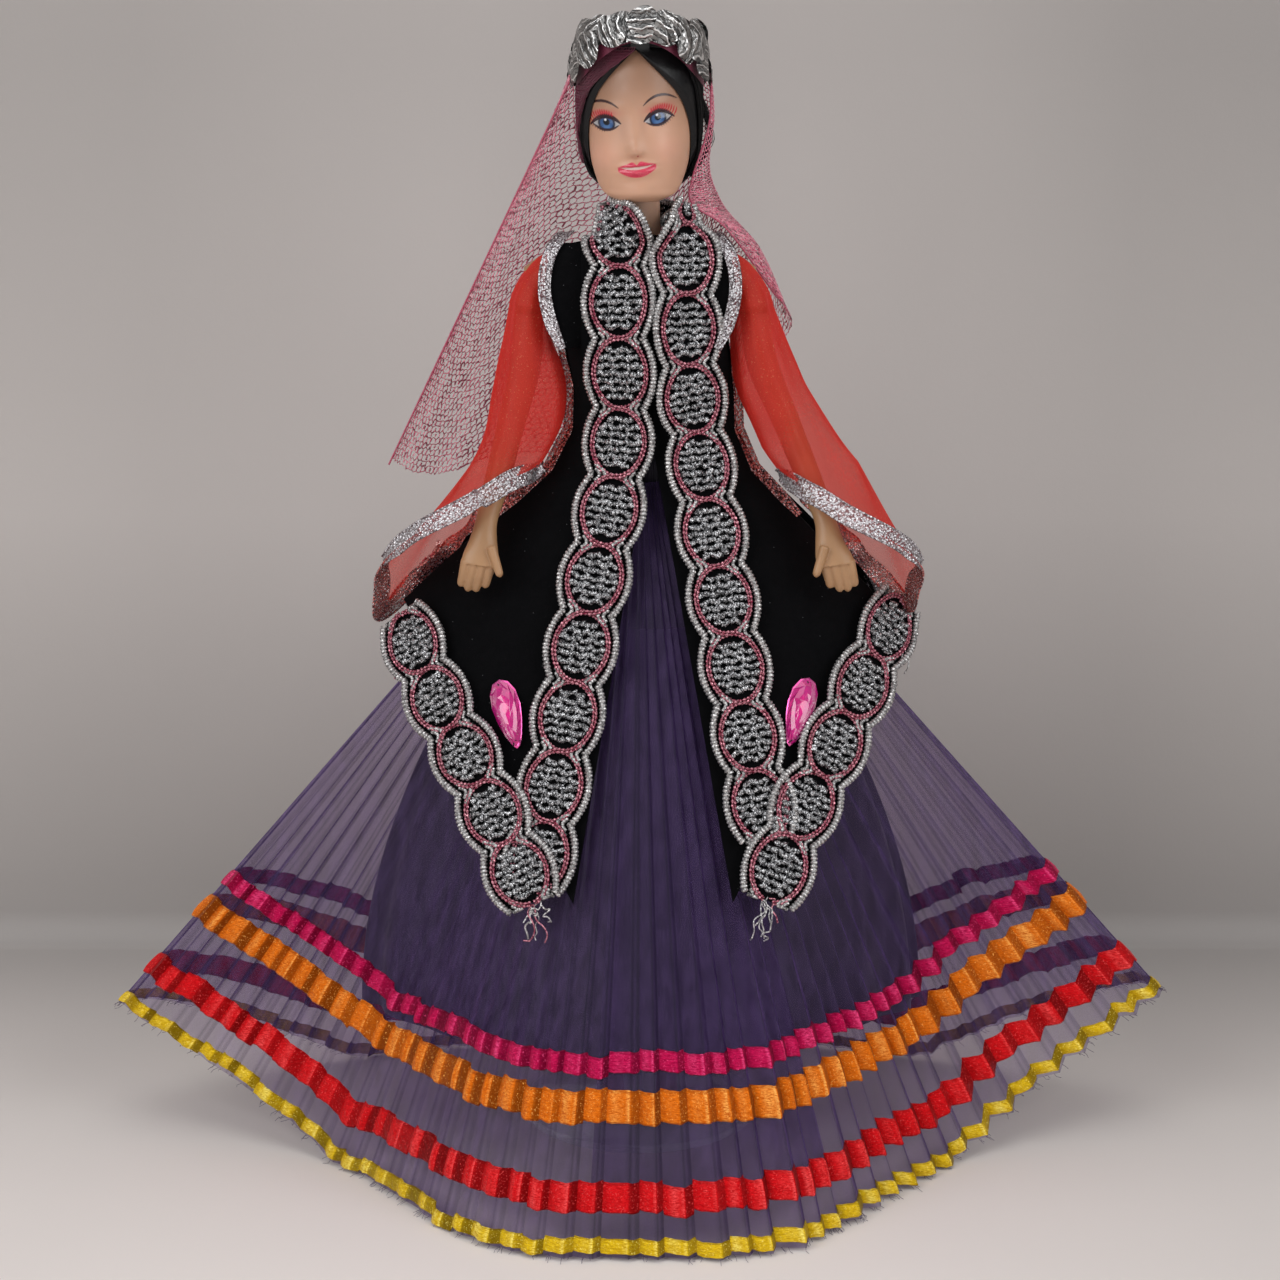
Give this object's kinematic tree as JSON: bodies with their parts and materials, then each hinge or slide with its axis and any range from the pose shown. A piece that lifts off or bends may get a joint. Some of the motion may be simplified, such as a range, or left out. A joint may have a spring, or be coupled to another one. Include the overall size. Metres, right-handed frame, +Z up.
{
  "type": "costumed folk-dress fashion doll",
  "caption": "Standing fashion doll in pleated organza skirt with satin ribbons, braided velvet vest, bell sleeves, net veil and sequinned band, on a clear stand",
  "frame": {"origin": "on the floor under the doll's body axis, on the underside of the stand's base", "axes": "+Z up; the doll faces -Y; its own left side is at +X"},
  "size_m": [0.281, 0.1415, 0.2915],
  "materials": {
    "doll_plastic": "satin vinyl and blow-moulded plastic, skin tone",
    "stand_plastic": "clear polystyrene",
    "hair_nylon": "rooted nylon strands, combed back",
    "sequin_foil": "foil sequins",
    "velvet": "black velvet",
    "braid_thread": "silver lurex and magenta chain-stitch thread",
    "lace_trim": "silver lurex lace",
    "organza": "crisp sheer organza, fine pleats",
    "lining_cloth": "dull polyester lining",
    "chiffon": "sheer sparkling chiffon",
    "tulle": "open hexagonal net",
    "gem_acrylic": "foil-backed faceted acrylic",
    "satin_magenta": "satin ribbon",
    "satin_orange": "satin ribbon",
    "satin_red": "satin ribbon",
    "satin_gold": "satin ribbon"
  },
  "bodies": {
    "torso": {"torso_front": "doll_plastic", "torso_back": "doll_plastic", "neck": "doll_plastic", "hip_pin": "stand_plastic", "hip_keel": "doll_plastic", "stand_base": "stand_plastic", "stand_post": "stand_plastic", "stand_clip": "stand_plastic", "skirt": "organza", "waistband": "organza", "lining": "lining_cloth", "ribbon_magenta": "satin_magenta", "ribbon_orange": "satin_orange", "ribbon_red": "satin_red", "ribbon_gold": "satin_gold", "blouse": "chiffon", "vest_front_left": "velvet", "vest_front_right": "velvet", "vest_back": "velvet", "braid_front_left": "braid_thread", "braid_front_right": "braid_thread", "braid_hem_left": "braid_thread", "braid_hem_right": "braid_thread", "braid_hem_back": "braid_thread", "braid_collar": "braid_thread", "armhole_trim_left": "lace_trim", "armhole_trim_right": "lace_trim", "side_trim_left": "lace_trim", "side_trim_right": "lace_trim", "gem_left": "gem_acrylic", "gem_right": "gem_acrylic"},
    "head": {"head": "doll_plastic", "hair": "hair_nylon", "headband": "sequin_foil", "veil": "tulle"},
    "arm_left": {"arm_left": "doll_plastic", "sleeve_left": "chiffon", "cuff_left": "lace_trim"},
    "arm_right": {"arm_right": "doll_plastic", "sleeve_right": "chiffon", "cuff_right": "lace_trim"},
    "leg_left": {"leg_left": "doll_plastic"},
    "leg_right": {"leg_right": "doll_plastic"}
  },
  "joints": [
    {"name": "neck_turn", "type": "hinge", "parent": "torso", "child": "head", "pos_m": [0, 0, 0.2525], "axis": [0, 0, 1], "range_deg": [-80, 80], "deforming": ["veil"]},
    {"name": "shoulder_left", "type": "hinge", "parent": "torso", "child": "arm_left", "pos_m": [0.0226, 0, 0.228], "axis": [-1, 0, 0], "range_deg": [0, 150]},
    {"name": "shoulder_right", "type": "hinge", "parent": "torso", "child": "arm_right", "pos_m": [-0.0226, 0, 0.228], "axis": [-1, 0, 0], "range_deg": [0, 150]},
    {"name": "hip_left", "type": "hinge", "parent": "torso", "child": "leg_left", "pos_m": [0.0072, 0, 0.151], "axis": [-1, 0, 0], "range_deg": [0, 15]},
    {"name": "hip_right", "type": "hinge", "parent": "torso", "child": "leg_right", "pos_m": [-0.0072, 0, 0.151], "axis": [-1, 0, 0], "range_deg": [0, 15]}
  ]
}
